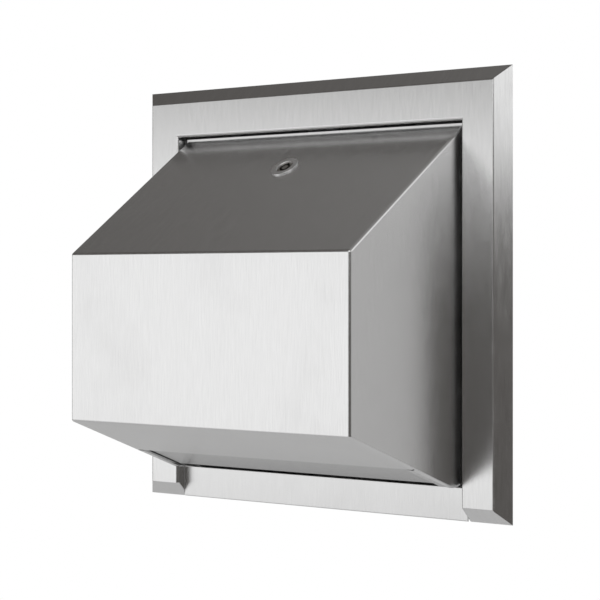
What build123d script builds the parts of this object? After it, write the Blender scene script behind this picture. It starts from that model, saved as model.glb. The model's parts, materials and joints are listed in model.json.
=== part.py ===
from build123d import *
import math
import os

# Semi-recessed multifold towel dispenser: a shallow steel box let into the wall, a bevelled trim frame
# over its edge, and a sloping hood that locks at the top and tilts forward on two pivots at the bottom.
# Lengths are in millimetres and angles in degrees. +Z is up, -Y faces the room, and the origin is the
# centre of the four anchor holes on the rear face of the back panel. Most pieces are laid out from the
# face of the finished wall, which is the plane y = -recess_depth.

# Wall box
recess_depth = 50.0
box_sheet = 1.2
box_flange_setback = 10.9
anchor_spacing_x = 220.0
anchor_spacing_z = 180.0
anchor_hole_radius = 3.25
side_slot_spacing = 150.0
side_slot_hole_radius = 3.0
side_hole_depth = 35.0

# Trim frame
frame_width = 375.0
frame_height = 335.0
frame_rise = 10.0
frame_bevel_run = 10.4
frame_sheet = 1.5
frame_bend = 2.2
frame_edge_bend = 1.6
side_bar_width = 39.9
top_bar_width = 38.7

# Apron and its shelf, between the frame's two legs
apron_sheet = 1.5
apron_bend = 2.6
apron_side_gap = 0.4
apron_edge_round = 0.7
apron_height = 26.6

# Hood
hood_side_gap = 3.6
hood_depth = 131.0
hood_sheet = 1.5
slope_angle = 36.0
under_angle = 20.5
lip_drop = 1.8
lip_rise = 1.7
lip_stand_off = 2.0
hood_rear_reach = 3.0
corner_radius = 20.0
pivot_stand_off = 13.0
pivot_above_shelf = 18.6
front_side_round = 2.0
front_edge_round = 2.3
under_panel_run = 75.0
hem_width = 8.0
hem_slit = 1.8

# Towel magazine
magazine_sheet = 1.2
magazine_side_gap = 2.0
tray_lift = 2.0
seam_gap = 1.0
tray_rear_stand_off = 21.0
tray_lip_height = 14.0
cheek_top = 66.0
cheek_front_top = 18.0
cheek_slope_start = -26.0
cheek_flange = 11.0
cheek_front_flange = 9.0
cheek_clear_of_shelf = 0.6
tray_hem = 1.3
rear_flange_start = 50.0
rear_flange_round = 4.0
rear_screw_inset = 12.0
window_width = 46.0
window_height = 62.0
window_round = 12.0
window_below_centre = 40.0

# Pivots and their brackets
bracket_sheet = 3.0
bracket_gap = 2.2
bracket_boss_radius = 9.0
bracket_foot_start = 15.0
bracket_foot_end = 42.0
bracket_bend = 2.6
bracket_below_pivot = 12.0
bracket_above_pivot = 42.0
bracket_screw_low = 2.0
bracket_screw_high = 30.0
pivot_radius = 4.0
pivot_clearance = 0.05
bush_wall = 1.5
bush_flange_radius = 7.0
bush_flange = 1.0
bush_seat_gap = 0.02
stop_orbit = 32.0
stop_radius = 3.0
stop_gap = 0.3
stop_pad = 2.0
stop_pad_length = 10.0
open_angle = 80.0
horn_length = 37.0
horn_depth = 5.0
clip_radius = 7.0
clip_thickness = 1.0
clip_gap = 0.2
clip_opening = 4.6
pivot_end_gap = 0.3
weld_radius = 6.0
weld_height = 1.0

# Cam lock
lock_down_slope = 47.0
bezel_radius = 11.2
bezel_height = 1.2
bezel_round = 0.5
barrel_radius = 9.5
barrel_flat = 8.6
barrel_length = 17.0
barrel_gap = 0.2
plug_radius = 6.85
plug_gap = 0.05
plug_recess = 0.9
plug_tail = 8.0
keyway_outer_radius = 4.6
keyway_post_radius = 2.7
keyway_depth = 6.0
key_notch_width = 1.7
key_notch_reach = 1.2
cam_sheet = 3.0
cam_width = 16.0
cam_length = 53.5
cam_stand_off = 1.0
cam_nut_height = 4.0
cam_nut_flats = 10.0
cam_stud_radius = 3.0
cam_stud_stick_out = 1.0
doubler_sheet = 2.0
doubler_width = 62.0
doubler_height = 44.0
doubler_round = 6.0
lock_washer_radius = 13.0
lock_washer_sheet = 1.0
lock_nut_flats = 24.0
lock_nut_height = 4.0

# Keeper behind which the cam hooks
keeper_sheet = 2.0
keeper_width = 34.0
keeper_front_gap = 1.5
keeper_leg = 26.0
keeper_bend = 2.4
keeper_cam_gap = 0.6
keeper_screw_spacing = 20.0
keeper_screw_setback = 16.0

# Fasteners
small_thread_radius = 2.0
small_head_radius = 4.0
small_head_height = 2.6
small_nut_flats = 7.0
small_nut_height = 3.2
large_thread_radius = 2.5
large_head_radius = 4.8
large_head_height = 3.0
large_nut_flats = 8.0
large_nut_height = 4.0
screw_hole_gap = 0.25
thread_past_nut = 1.0
socket_share = 0.42

# Places worked out from the sizes above, shared by the pieces
wall_y = -recess_depth
slope = math.radians(slope_angle)
under = math.radians(under_angle)
opening_half = frame_width / 2 - side_bar_width
opening_top = frame_height / 2 - top_bar_width
frame_front = wall_y - frame_rise
hood_half = opening_half - hood_side_gap
hood_front = wall_y - hood_depth
hood_rear = wall_y + hood_rear_reach
hood_inside = hood_half - hood_sheet
lip_top = opening_top - lip_drop
pivot_y = wall_y - pivot_stand_off
shelf_top = apron_height - frame_height / 2
floor_top = shelf_top - apron_sheet
pivot_z = shelf_top + pivot_above_shelf
front_top_height = lip_top - lip_rise - (hood_depth - lip_stand_off) * math.tan(slope)
front_bottom_height = pivot_z - corner_radius / math.cos(under) + (pivot_y - hood_front) * math.tan(under)


def under_height(y):
    """Height of the hood's outer underside at y."""
    return front_bottom_height - (y - hood_front) * math.tan(under)


def slope_height(y):
    """Height of the hood's outer sloping face at y."""
    return front_top_height + (y - hood_front) * math.tan(slope)


hem_inside = hood_half - hem_width
tray_half = hem_inside - magazine_side_gap
cheek_inside = tray_half - magazine_sheet
box_inner_back = -box_sheet
bracket_inside = tray_half + bracket_gap
bracket_outside = bracket_inside + bracket_sheet
screw_reach = box_sheet + small_nut_height + thread_past_nut


# Small builders that several pieces use
def yz_prism(outline, x_low, x_high):
    """A face drawn in (y, z), carried along X from x_low to x_high."""
    return extrude(Plane.YZ.offset(x_low) * outline, amount=x_high - x_low)


def polygon(points):
    return make_face(Polyline(*points, close=True))


def block(x_low, x_high, y_low, y_high, z_low, z_high):
    size = (x_high - x_low, y_high - y_low, z_high - z_low)
    centre = ((x_high + x_low) / 2, (y_high + y_low) / 2, (z_high + z_low) / 2)
    return Pos(*centre) * Box(*size)


def rod_x(x_low, x_high, y, z, radius):
    """A round bar along X."""
    return Pos((x_low + x_high) / 2, y, z) * Rot(0, 90, 0) * Cylinder(radius, x_high - x_low)


def rod_y(y_low, y_high, x, z, radius):
    """A round bar along Y."""
    return Pos(x, (y_low + y_high) / 2, z) * Rot(90, 0, 0) * Cylinder(radius, y_high - y_low)


def hexagon(flats):
    return RegularPolygon(flats / 2, 6, major_radius=False)


def screw(thread_radius, head_radius, head_height, length):
    """A socket screw along +Z: its head sits below z = 0 and its shank rises from there."""
    head = Pos(0, 0, -head_height / 2) * Cylinder(head_radius, head_height)
    head = chamfer(head.edges().group_by(Axis.Z)[0], head_height * 0.35)
    socket = extrude(hexagon(head_radius * 2 * socket_share), amount=head_height * 0.6)
    shank = Pos(0, 0, length / 2) * Cylinder(thread_radius, length)
    return head - Pos(0, 0, -head_height) * socket + shank


def nut(thread_radius, flats, height):
    """A hexagon nut on +Z, from z = 0 up."""
    bore = Pos(0, 0, height / 2) * Cylinder(thread_radius, height)
    return extrude(hexagon(flats), amount=height) - bore


def both_sides(piece):
    """The piece and its mirror image in the plane x = 0, as separate solids."""
    return Compound(children=[*piece.solids(), *mirror(piece, Plane.YZ).solids()])


def group(pieces):
    """Like pieces kept as separate solids of one group."""
    return Compound(children=[solid for piece in pieces for solid in piece.solids()])


# Wall box
def side_holes():
    """Two holes in each side wall, through which the box can be screwed to studs."""
    y = wall_y + side_hole_depth
    return [
        rod_x(side * opening_half - 10, side * opening_half + 10, y, z, side_slot_hole_radius)
        for side in (-1, 1)
        for z in (-side_slot_spacing / 2, side_slot_spacing / 2)
    ]


def magazine_screw_places():
    """(x, z) of the screws through the cheeks' rear flanges, on the right-hand side."""
    x = tray_half + cheek_flange * 0.55
    return [(x, floor_top + rear_flange_start + rear_screw_inset), (x, cheek_top - rear_screw_inset)]


def keeper_screw_places():
    y = wall_y + hood_rear_reach + keeper_front_gap + keeper_screw_setback
    return [(x, y) for x in (-keeper_screw_spacing / 2, keeper_screw_spacing / 2)]


def bracket_screw_places():
    """(y, z) of the screws through the bracket's foot."""
    y = wall_y + (bracket_foot_start + bracket_foot_end) / 2 + 2.0
    return [(y, pivot_z + bracket_screw_low), (y, pivot_z + bracket_screw_high)]


def wall_box():
    outer_half = opening_half + box_sheet
    shell = block(-outer_half, outer_half, wall_y, 0, floor_top - box_sheet, opening_top + box_sheet)
    shell -= block(-opening_half, opening_half, wall_y, -box_sheet, floor_top, opening_top)
    flange_half = frame_width / 2 - box_flange_setback
    flange_top = frame_height / 2 - box_flange_setback
    flange = block(-flange_half, flange_half, wall_y - box_sheet, wall_y, -flange_top, flange_top)
    flange -= block(-opening_half, opening_half, wall_y - box_sheet, wall_y, floor_top, opening_top)
    flange -= block(-opening_half, opening_half, wall_y - box_sheet, wall_y, -frame_height, floor_top)
    box = shell + flange
    for x in (-anchor_spacing_x / 2, anchor_spacing_x / 2):
        for z in (-anchor_spacing_z / 2, anchor_spacing_z / 2):
            box -= rod_y(-5 * box_sheet, box_sheet, x, z, anchor_hole_radius)
    for hole in side_holes():
        box -= hole
    for x, z in magazine_screw_places():
        for side in (-1, 1):
            box -= rod_y(-5 * box_sheet, box_sheet, side * x, z, small_thread_radius + screw_hole_gap)
    for x, y in keeper_screw_places():
        hole = Cylinder(large_thread_radius + screw_hole_gap, 6 * box_sheet)
        box -= Pos(x, y, opening_top) * hole
    for y, z in bracket_screw_places():
        radius = large_thread_radius + screw_hole_gap
        for side in (-1, 1):
            low, high = sorted((side * (opening_half - 3), side * (opening_half + 6)))
            box -= rod_x(low, high, y, z, radius)
    return box


# Trim frame
def frame_plane():
    """A drawing plane on the wall's face, looking out into the room."""
    return Plane(origin=(0, wall_y, 0), x_dir=(1, 0, 0), z_dir=(0, -1, 0))


def bevelled_block(width, height, rise, taper):
    return extrude(frame_plane() * Rectangle(width, height), amount=rise, taper=taper)


def opening_block(grow):
    """The opening, which runs out through the frame's bottom, grown all round by a distance."""
    half = opening_half + grow
    return block(-half, half, frame_front - 5, wall_y + 5, -frame_height, opening_top + grow)


def trim_frame():
    taper = math.degrees(math.atan2(frame_bevel_run, frame_rise))
    body = bevelled_block(frame_width, frame_height, frame_rise, taper)
    front = body.faces().sort_by(Axis.Y)[0]
    body = fillet(front.edges(), frame_edge_bend)
    body -= opening_block(0)
    rim = [
        edge
        for edge in body.edges().filter_by_position(Axis.Y, frame_front - 0.01, frame_front + 0.01)
        if abs(edge.center().X) <= opening_half + 0.01 and edge.center().Z <= opening_top + 0.01
        and edge.length > top_bar_width * 2
    ]
    body = fillet(rim, frame_bend)
    wall_inset = frame_sheet / math.cos(math.radians(taper))
    hollow = bevelled_block(
        frame_width - 2 * wall_inset, frame_height - 2 * wall_inset, frame_rise - frame_sheet, taper
    )
    hollow -= opening_block(frame_sheet)
    body -= hollow
    return_half = opening_half + frame_sheet
    return body - block(
        -return_half - 1, return_half + 1, wall_y - box_sheet, wall_y + 1,
        box_flange_setback - frame_height / 2, opening_top + frame_sheet + 1,
    )


# Apron
def apron_plate():
    half = opening_half - apron_side_gap
    back = box_inner_back
    shelf = block(-half, half, wall_y - apron_sheet, back, floor_top, shelf_top)
    skirt = block(-half, half, wall_y - apron_sheet, wall_y, -frame_height / 2, shelf_top)
    apron = shelf + skirt
    front_edges = apron.edges().filter_by(Axis.X).group_by(Axis.Y)[0].sort_by(Axis.Z)
    apron = fillet([front_edges[-1]], apron_bend)
    low_edge = apron.edges().filter_by(Axis.X).group_by(Axis.Z)[0].sort_by(Axis.Y)[0]
    apron = fillet([low_edge], apron_edge_round)
    return apron


# Hood
def hood_outline(inset):
    """The hood's side view, in (y, z), drawn in from its outer surface by a distance. It runs round
    the upright lip, the slope, the front, the underside and the rounded corner about the pivot."""
    top = lip_top - inset
    front = hood_front + inset
    slope_drop = inset / math.cos(slope)
    under_lift = inset / math.cos(under)
    radius = corner_radius - inset
    lip_y = wall_y - lip_stand_off + inset
    tangent = (pivot_y - radius * math.sin(under), pivot_z - radius * math.cos(under))
    reach = hood_rear - pivot_y
    corner_end = (hood_rear, pivot_z - math.sqrt(radius**2 - reach**2))
    mid = math.radians(-90) + (math.atan2(corner_end[1] - pivot_z, reach) + math.pi / 2 - under) / 2
    corner_mid = (pivot_y + radius * math.cos(mid), pivot_z + radius * math.sin(mid))
    straight = Polyline(
        corner_end,
        (hood_rear, top),
        (lip_y, top),
        (lip_y, slope_height(lip_y) - slope_drop),
        (front, slope_height(front) - slope_drop),
        (front, under_height(front) + under_lift),
        tangent,
    )
    return make_face(Wire([*straight.edges(), ThreePointArc(tangent, corner_mid, corner_end)]))


def along_under(run, lift):
    """(y, z) of a point a distance back along the underside from the front edge, lifted into the hood."""
    y = hood_front + run * math.cos(under) + lift * math.sin(under)
    z = front_bottom_height - run * math.sin(under) + lift * math.cos(under)
    return (y, z)


def under_strip(start, end, outside, inside):
    """The side view of a strip of the underside, reaching past the sheet on both sides."""
    return polygon([
        along_under(start, -outside), along_under(end, -outside),
        along_under(end, inside), along_under(start, inside),
    ])


def hood_block(inset):
    """The hood as a solid, drawn in from its outer surface by a distance, with its bends rounded."""
    half = hood_half - inset
    outline = hood_outline(inset)
    front_corners = outline.vertices().sort_by(Axis.X)[:2]
    outline = fillet(front_corners, front_edge_round - inset)
    body = yz_prism(outline, -half, half)
    side_edges = [
        edge for edge in body.edges()
        if abs(abs(edge.center().X) - half) < 0.01 and edge.center().Y < hood_rear - 6.0
        and edge.center().Z < lip_top - inset - 0.01
    ]
    return fillet(side_edges, front_side_round - inset)


def hood_shell():
    body = hood_block(0) - hood_block(hood_sheet)
    body -= yz_prism(under_strip(under_panel_run, hood_depth, 4, 10), -hem_inside, hem_inside)
    corner_y = pivot_y - corner_radius * math.sin(under)
    body -= block(-hood_inside, hood_inside, corner_y, hood_rear + 1, pivot_z - corner_radius - 1, pivot_z - 4)
    slit = under_strip(under_panel_run, under_panel_run + hem_slit, 4, 2 * hood_sheet)
    for side in (-1, 1):
        low, high = sorted((side * (hem_inside - 1), side * (hood_half - 0.6)))
        body -= yz_prism(slit, low, high)
    return body - on_lock(Pos(0, 0, -hood_sheet) * lock_hole(4 * hood_sheet))


# Cam lock, drawn on the slope with +Z pointing out of it
def on_lock(piece):
    """Puts a piece on the lock's axis, with its z = 0 on the slope's outer face."""
    y = wall_y - lip_stand_off - lock_down_slope * math.cos(slope)
    place = Plane(origin=(0, y, slope_height(y)), x_dir=(1, 0, 0), z_dir=(0, -math.sin(slope), math.cos(slope)))
    return place.location * piece


def barrel_face(radius, flat):
    """A round bar's section with two flats."""
    return Circle(radius) & Rectangle(2 * radius, 2 * flat)


def lock_hole(depth):
    face = barrel_face(barrel_radius + barrel_gap, barrel_flat + barrel_gap)
    return Pos(0, 0, -depth / 2) * extrude(face, amount=depth)


def lock_body():
    """The fixed barrel with its bezel, which clamps the sheet from outside."""
    bezel = Pos(0, 0, bezel_height / 2) * Cylinder(bezel_radius, bezel_height)
    bezel = fillet(bezel.edges().group_by(Axis.Z)[-1], bezel_round)
    barrel = Pos(0, 0, -barrel_length) * extrude(barrel_face(barrel_radius, barrel_flat), amount=barrel_length)
    bore = Pos(0, 0, (bezel_height - barrel_length) / 2) * Cylinder(
        plug_radius + plug_gap, bezel_height + barrel_length
    )
    body = bezel + barrel - bore
    mouth = body.edges().filter_by(GeomType.CIRCLE).group_by(Axis.Z)[-1].sort_by(SortBy.RADIUS)[0]
    return on_lock(chamfer(mouth, bezel_round * 0.8))


def lock_plug():
    """The turning core: a ring-shaped keyway round a post, with a notch at the top that the key's lug
    enters, then its square tail for the cam and its threaded end."""
    top = bezel_height - plug_recess
    core = Pos(0, 0, (top - barrel_length) / 2) * Cylinder(plug_radius, top + barrel_length)
    core = chamfer(core.edges().group_by(Axis.Z)[-1], 0.4)
    keyway = Circle(keyway_outer_radius) - Circle(keyway_post_radius)
    keyway += Pos(0, keyway_outer_radius) * Rectangle(key_notch_width, 2 * key_notch_reach)
    slot = Pos(0, 0, top - keyway_depth) * extrude(keyway, amount=keyway_depth + 1)
    collar = Pos(0, 0, -barrel_length - cam_stand_off) * extrude(Circle(plug_radius), amount=cam_stand_off)
    tail_low = -barrel_length - cam_stand_off - cam_sheet
    tail = Pos(0, 0, tail_low) * extrude(Rectangle(plug_tail, plug_tail), amount=cam_sheet)
    stud_length = cam_nut_height + cam_stud_stick_out
    stud = Pos(0, 0, tail_low - stud_length) * extrude(Circle(cam_stud_radius), amount=stud_length)
    return on_lock(core + collar + tail + stud - slot)


def lock_cam():
    """The flat cam, stored pointing sideways, which is the unlocked place."""
    root = Circle(cam_width / 2)
    arm = Pos(cam_length / 2, 0) * Rectangle(cam_length, cam_width)
    outline = root + arm - Rectangle(plug_tail, plug_tail)
    tip = outline.vertices().group_by(Axis.X)[-1]
    outline = fillet(tip, cam_width * 0.22)
    top = -barrel_length - cam_stand_off
    return on_lock(Pos(0, 0, top - cam_sheet) * extrude(outline, amount=cam_sheet))


def cam_nut():
    low = -barrel_length - cam_stand_off - cam_sheet - cam_nut_height
    return on_lock(Pos(0, 0, low) * nut(cam_stud_radius, cam_nut_flats, cam_nut_height))


def lock_doubler():
    face = RectangleRounded(doubler_width, doubler_height, doubler_round)
    face -= barrel_face(barrel_radius + barrel_gap, barrel_flat + barrel_gap)
    return on_lock(Pos(0, 0, -hood_sheet - doubler_sheet) * extrude(face, amount=doubler_sheet))


def lock_washer():
    """A toothed washer under the nut."""
    ring = Circle(lock_washer_radius)
    teeth = 12
    for k in range(teeth):
        angle = 360 / teeth * k
        ring -= Rot(0, 0, angle) * Pos(lock_washer_radius, 0) * Rectangle(2.4, 2.0)
    ring -= Circle(barrel_radius + barrel_gap)
    low = -hood_sheet - doubler_sheet - lock_washer_sheet
    return on_lock(Pos(0, 0, low) * extrude(ring, amount=lock_washer_sheet))


def lock_nut():
    low = -hood_sheet - doubler_sheet - lock_washer_sheet - lock_nut_height
    return on_lock(Pos(0, 0, low) * nut(barrel_radius, lock_nut_flats, lock_nut_height))


# Keeper
def keeper_bracket():
    """An angle hung from the box's top, whose lower edge just clears the cam."""
    front = hood_rear + keeper_front_gap
    mid_y = front + keeper_sheet / 2
    mid_z = opening_top - keeper_sheet / 2
    cam_top = slope_height(front + keeper_sheet) - (barrel_length + cam_stand_off) / math.cos(slope)
    low = cam_top + keeper_cam_gap
    line = FilletPolyline((mid_y, low), (mid_y, mid_z), (front + keeper_leg, mid_z), radius=keeper_bend)
    angle = yz_prism(trace(line, line_width=keeper_sheet), -keeper_width / 2, keeper_width / 2)
    corners = angle.edges().filter_by(Axis.Y).group_by(Axis.Z)[0]
    angle = fillet(corners, 3.0)
    for x, y in keeper_screw_places():
        angle -= Pos(x, y, mid_z) * Cylinder(large_thread_radius + screw_hole_gap, 3 * keeper_sheet)
    return angle


def keeper_screws():
    length = keeper_sheet + box_sheet + large_nut_height + thread_past_nut
    one = screw(large_thread_radius, large_head_radius, large_head_height, length)
    return group([Pos(x, y, opening_top - keeper_sheet) * one for x, y in keeper_screw_places()])


def keeper_nuts():
    one = nut(large_thread_radius, large_nut_flats, large_nut_height)
    return group([Pos(x, y, opening_top + box_sheet) * one for x, y in keeper_screw_places()])


# Towel magazine
def cheek_outline():
    """A cheek's side view, in (y, z)."""
    start = under_panel_run + seam_gap
    tray_end = (wall_y - tray_rear_stand_off - hood_front) / math.cos(under)
    low = shelf_top + cheek_clear_of_shelf
    return polygon([
        along_under(start, tray_lift),
        along_under(tray_end, tray_lift),
        (wall_y - tray_rear_stand_off + 6, low),
        (box_inner_back, low),
        (box_inner_back, cheek_top),
        (wall_y + cheek_slope_start, cheek_top),
        (along_under(start, tray_lift)[0], cheek_front_top),
    ])


def cheek_window():
    """The lightening hole through which the level of the stack can be felt."""
    window = RectangleRounded(window_width, window_height, window_round)
    middle = Pos(wall_y - 4, -window_below_centre)
    return yz_prism(middle * window, cheek_inside - 5, tray_half + 5)


def towel_magazine():
    """One folded sheet: a sloping tray with a lip, two cheeks, and flanges that screw to the back."""
    start = under_panel_run + seam_gap
    tray_end = (wall_y - tray_rear_stand_off - hood_front) / math.cos(under)
    cheek = yz_prism(cheek_outline(), cheek_inside, tray_half) - cheek_window()
    front_y = along_under(start, tray_lift)[0]
    front_flange = block(
        tray_half - cheek_front_flange, tray_half, front_y, front_y + magazine_sheet,
        along_under(start, tray_lift)[1] + tray_lip_height + 3, cheek_front_top,
    )
    rear_flange = block(
        tray_half, tray_half + cheek_flange, box_inner_back - magazine_sheet, box_inner_back,
        floor_top + rear_flange_start, cheek_top,
    )
    rear_corner = rear_flange.edges().filter_by(Axis.Y).group_by(Axis.X)[-1]
    rear_flange = fillet(rear_corner, rear_flange_round)
    for x, z in magazine_screw_places():
        rear_flange -= rod_y(-8, 1, x, z, small_thread_radius + screw_hole_gap)
    side = cheek + front_flange + rear_flange
    y, z = cheek_screw_place()
    side -= rod_x(cheek_inside - 2, tray_half + 2, y, z, small_thread_radius + screw_hole_gap)
    tray = yz_prism(
        under_strip(start, tray_end, -tray_lift, tray_lift + magazine_sheet), -tray_half, tray_half
    )
    lip = yz_prism(
        under_strip(start, start + magazine_sheet, -tray_lift, tray_lip_height), -tray_half, tray_half
    )
    hem = yz_prism(
        Pos(*along_under(tray_end, tray_lift + tray_hem)) * Circle(tray_hem), -tray_half, tray_half
    )
    return tray + lip + hem + side + mirror(side, Plane.YZ)


def magazine_screws():
    one = screw(small_thread_radius, small_head_radius, small_head_height, magazine_sheet + screw_reach)
    facing = Rot(-90, 0, 0) * one
    places = [(s * x, z) for x, z in magazine_screw_places() for s in (-1, 1)]
    return group([Pos(x, box_inner_back - magazine_sheet, z) * facing for x, z in places])


def magazine_nuts():
    one = Rot(-90, 0, 0) * nut(small_thread_radius, small_nut_flats, small_nut_height)
    places = [(s * x, z) for x, z in magazine_screw_places() for s in (-1, 1)]
    return group([Pos(x, 0, z) * one for x, z in places])


# Hinge brackets
def open_stop():
    """(y, z) of the stop stud when the hood is fully open."""
    turn = math.radians(open_angle)
    return (pivot_y - stop_orbit * math.sin(turn), pivot_z + stop_orbit * math.cos(turn))


def horn_top():
    return open_stop()[1] - stop_radius - stop_gap - stop_pad


def heel_front():
    """The bracket's face behind the closed stop stud."""
    return pivot_y + stop_radius + stop_gap + stop_pad


def cheek_screw_place():
    return (wall_y + 2.0, pivot_z + bracket_above_pivot - 8.0)


def hinge_bracket():
    """The right-hand bracket: a joggled plate with a boss for the pivot and a horn for the open stop."""
    x_plate = (bracket_inside + bracket_outside) / 2
    x_foot = opening_half - bracket_sheet / 2
    plan = FilletPolyline(
        (x_plate, pivot_y - horn_length - 2),
        (x_plate, wall_y + bracket_foot_start - 6.5),
        (x_foot, wall_y + bracket_foot_start),
        (x_foot, wall_y + bracket_foot_end),
        radius=bracket_bend,
    )
    low = pivot_z - bracket_below_pivot
    high = pivot_z + bracket_above_pivot
    folded = Pos(0, 0, low) * extrude(trace(plan, line_width=bracket_sheet), amount=high - low)
    body = polygon([
        (heel_front(), low + 4), (wall_y + bracket_foot_end, low + 4),
        (wall_y + bracket_foot_end, high), (heel_front(), high),
    ])
    horn = polygon([
        (pivot_y, horn_top()), (pivot_y - horn_length, horn_top()),
        (pivot_y - horn_length, horn_top() - horn_depth * 0.6), (pivot_y, pivot_z - bracket_boss_radius),
    ])
    boss = Pos(pivot_y, pivot_z) * Circle(bracket_boss_radius)
    neck = polygon([
        (pivot_y, pivot_z - bracket_boss_radius), (heel_front() + 1, low + 4),
        (heel_front() + 1, pivot_z + bracket_boss_radius), (pivot_y, pivot_z + bracket_boss_radius),
    ])
    outline = body + boss + horn + neck
    bracket = folded & yz_prism(outline, bracket_inside - 1, opening_half + 1)
    bracket -= rod_x(bracket_inside - 1, bracket_outside + 1, pivot_y, pivot_z, pivot_radius + bush_wall + bush_seat_gap)
    for y, z in bracket_screw_places():
        bracket -= rod_x(opening_half - 6, opening_half + 1, y, z, large_thread_radius + screw_hole_gap)
    y, z = cheek_screw_place()
    bracket -= rod_x(bracket_inside - 1, bracket_outside + 1, y, z, small_thread_radius + screw_hole_gap)
    return bracket


def hinge_bush():
    """A flanged plastic bush in the bracket, with its flange towards the hood's side."""
    outer = pivot_radius + bush_wall
    sleeve = rod_x(bracket_inside, bracket_outside, pivot_y, pivot_z, outer)
    flange = rod_x(bracket_outside, bracket_outside + bush_flange, pivot_y, pivot_z, bush_flange_radius)
    bore = rod_x(
        bracket_inside - 1, bracket_outside + bush_flange + 1, pivot_y, pivot_z, pivot_radius + pivot_clearance
    )
    return sleeve + flange - bore


def bracket_screws():
    length = bracket_sheet + box_sheet + large_nut_height + thread_past_nut
    one = screw(large_thread_radius, large_head_radius, large_head_height, length)
    facing = Rot(0, 90, 0) * one
    return group([both_sides(Pos(opening_half - bracket_sheet, y, z) * facing) for y, z in bracket_screw_places()])


def bracket_nuts():
    one = Rot(0, 90, 0) * nut(large_thread_radius, large_nut_flats, large_nut_height)
    return group([both_sides(Pos(opening_half + box_sheet, y, z) * one) for y, z in bracket_screw_places()])


def cheek_spacers():
    """The washers that fill the gap between each cheek and its bracket."""
    y, z = cheek_screw_place()
    ring = rod_x(tray_half, bracket_inside, y, z, small_head_radius + 0.6)
    ring -= rod_x(tray_half - 1, bracket_inside + 1, y, z, small_thread_radius + screw_hole_gap)
    return both_sides(ring)


def cheek_screws():
    y, z = cheek_screw_place()
    length = magazine_sheet + bracket_gap + bracket_sheet + small_nut_height * 0.6
    one = Rot(0, 90, 0) * screw(small_thread_radius, small_head_radius, small_head_height, length)
    return both_sides(Pos(cheek_inside, y, z) * one)


def cheek_nuts():
    y, z = cheek_screw_place()
    one = Rot(0, 90, 0) * nut(small_thread_radius, small_nut_flats, small_nut_height * 0.6)
    return both_sides(Pos(bracket_outside, y, z) * one)


def open_stop_pads():
    """Rubber pads on the horns, which the stop studs land on when the hood is open."""
    y = open_stop()[0]
    pad = block(
        bracket_inside, bracket_outside, y - stop_pad_length / 2, y + stop_pad_length / 2,
        horn_top(), horn_top() + stop_pad,
    )
    upper = pad.edges().filter_by(Axis.X).group_by(Axis.Z)[-1]
    return both_sides(fillet(upper, stop_pad * 0.4))


def closed_stop_pads():
    """Rubber pads on the brackets' front edges, which the stop studs rest on when the hood is shut."""
    z = pivot_z + stop_orbit
    pad = block(
        bracket_inside, bracket_outside, heel_front() - stop_pad, heel_front(),
        z - stop_pad_length / 2, z + stop_pad_length / 2,
    )
    outer = pad.edges().filter_by(Axis.X).group_by(Axis.Y)[0]
    return both_sides(fillet(outer, stop_pad * 0.4))


# Studs on the hood's sides
def welded_stud(y, z, radius, x_low):
    """A stud welded inside the hood's right side, with the weld's fillet round its root."""
    shank = rod_x(x_low, hood_inside, y, z, radius)
    tip = shank.edges().group_by(Axis.X)[0]
    shank = chamfer(tip, radius * 0.12)
    weld = rod_x(hood_inside - weld_height, hood_inside, y, z, weld_radius)
    return shank + chamfer(weld.edges().group_by(Axis.X)[0], weld_height * 0.7)


def pivot_stud():
    stud = welded_stud(pivot_y, pivot_z, pivot_radius, tray_half + pivot_end_gap)
    groove_low = bracket_inside - clip_gap - clip_thickness
    groove = rod_x(groove_low, groove_low + clip_thickness, pivot_y, pivot_z, pivot_radius + 1)
    groove -= rod_x(groove_low - 1, groove_low + clip_thickness + 1, pivot_y, pivot_z, pivot_radius * 0.75)
    return stud - groove


def pivot_clips():
    """Open rings in the studs' grooves, which keep the hood between its brackets."""
    low = bracket_inside - clip_gap - clip_thickness
    ring = rod_x(low, low + clip_thickness, pivot_y, pivot_z, clip_radius)
    ring -= rod_x(low - 1, low + clip_thickness + 1, pivot_y, pivot_z, pivot_radius * 0.75)
    ring -= block(
        low - 1, low + clip_thickness + 1, pivot_y - clip_opening / 2, pivot_y + clip_opening / 2,
        pivot_z, pivot_z + clip_radius + 1,
    )
    return both_sides(ring)


def stop_stud():
    return welded_stud(pivot_y, pivot_z + stop_orbit, stop_radius, bracket_inside - 1.0)


# Write one file for each piece
def write_parts():
    os.makedirs("parts", exist_ok=True)
    sided = {"hinge_bracket": hinge_bracket, "hinge_bush": hinge_bush, "pivot_stud": pivot_stud,
             "stop_stud": stop_stud}
    whole = [
        wall_box, trim_frame, apron_plate, hood_shell, towel_magazine, magazine_screws, magazine_nuts,
        bracket_screws, bracket_nuts, cheek_spacers, cheek_screws, cheek_nuts, open_stop_pads,
        closed_stop_pads, pivot_clips, lock_body, lock_plug, lock_cam, cam_nut, lock_doubler,
        lock_washer, lock_nut, keeper_bracket, keeper_screws, keeper_nuts,
    ]
    for make in whole:
        export_step(make(), f"parts/{make.__name__}.step")
    for name, make in sided.items():
        right = make()
        export_step(right, f"parts/{name}_right.step")
        export_step(mirror(right, Plane.YZ), f"parts/{name}_left.step")


write_parts()
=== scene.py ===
"""The looks of a semi-recessed towel dispenser: brushed sheet, a small chromed lock, plated fittings,
the threads and welds that are too fine for the construction, and a plain pale stage."""

import json
import math

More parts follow.
